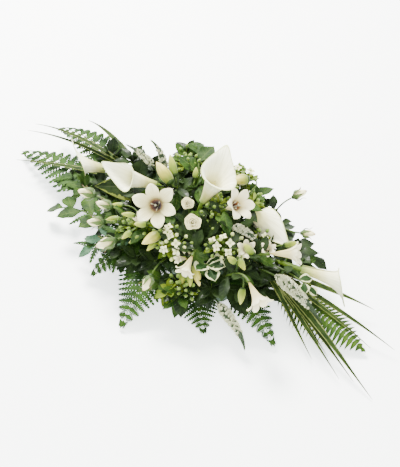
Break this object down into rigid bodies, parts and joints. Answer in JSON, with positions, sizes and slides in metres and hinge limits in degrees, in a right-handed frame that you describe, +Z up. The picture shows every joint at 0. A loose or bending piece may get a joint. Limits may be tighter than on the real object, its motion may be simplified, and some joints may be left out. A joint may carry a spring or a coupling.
{
  "type": "double-ended flower spray",
  "caption": "Long, low double-ended spray of white callas, freesias and small roses with veronica, ferns, leaves and grasses, their stems set in wet foam in a shallow green tray.",
  "frame": {"origin": "middle of the tray's underside, the face that the spray stands on", "axes": "+X along the spray, towards the end with the long grasses; +Z up; the front, nearest the picture's camera, is at -Y"},
  "size_m": [0.764, 0.3234, 0.1778],
  "materials": {
    "calla_white": "smooth, waxy, soft sheen",
    "calla_green": "smooth, satin",
    "freesia_cream": "fine, silky petals",
    "freesia_green": "satin",
    "rose_cream": "soft matte petals",
    "rose_green": "satin",
    "rose_bud": "satin, green into cream",
    "veronica_pale": "matte, finely bumped",
    "fern_green": "leathery, satin",
    "leaf_green": "satin",
    "leaf_dark": "glossy",
    "leaf_glaucous": "matte, bloomed",
    "grass_green": "satin",
    "floret_pale": "matte",
    "berry_green": "satin",
    "foam_green": "wet, fine-celled, matte",
    "tray_green": "moulded, satin gloss"
  },
  "bodies": {
    "root": {"back_leaves_low": "leaf_dark", "back_leaves_middle": "leaf_green", "back_leaves_right": "leaf_dark", "berries_middle": "berry_green", "broad_leaves_left": "leaf_green", "calla_centre_spathe": "calla_white", "calla_centre_stem": "calla_green", "calla_far_left_spathe": "calla_white", "calla_far_left_stem": "calla_green", "calla_left_spathe": "calla_white", "calla_left_stem": "calla_green", "calla_low_right_spathe": "calla_white", "calla_low_right_stem": "calla_green", "calla_right_spathe": "calla_white", "calla_right_stem": "calla_green", "dark_leaves_front": "leaf_dark", "edged_leaves_front": "leaf_green", "edged_leaves_right": "leaf_green", "fern_front": "fern_green", "fern_front_left": "fern_green", "fern_front_right": "fern_green", "fern_left": "fern_green", "fern_left_back": "fern_green", "fern_low_right": "fern_green", "fern_right": "leaf_green", "florets_front": "floret_pale", "florets_right": "floret_pale", "foam_block": "foam_green", "freesia_back_buds": "freesia_green", "freesia_big_bloom": "freesia_cream", "freesia_big_stem": "freesia_green", "freesia_crown_bloom": "freesia_cream", "freesia_crown_stem": "freesia_green", "freesia_front_bloom": "freesia_cream", "freesia_front_stem": "freesia_green", "freesia_low_bloom": "freesia_cream", "freesia_low_stem": "freesia_green", "freesia_right_bloom": "freesia_cream", "freesia_right_stem": "freesia_green", "freesia_side_buds": "freesia_green", "glaucous_leaves": "leaf_glaucous", "grass_left": "grass_green", "grass_right": "grass_green", "rose_bud_front": "rose_bud", "rose_buds_back": "rose_bud", "rose_buds_left": "rose_bud", "rose_open_large": "rose_cream", "rose_open_small": "rose_cream", "rose_open_stem": "rose_green", "spray_tray": "tray_green", "tuft_front_left": "leaf_dark", "tuft_front_right": "leaf_dark", "tuft_left": "leaf_dark", "tuft_top_left": "leaf_dark", "tuft_top_middle": "leaf_dark", "tuft_top_right": "leaf_dark", "veronica_back": "veronica_pale", "veronica_front": "veronica_pale", "veronica_middle": "veronica_pale", "veronica_right": "veronica_pale"}
  },
  "joints": []
}
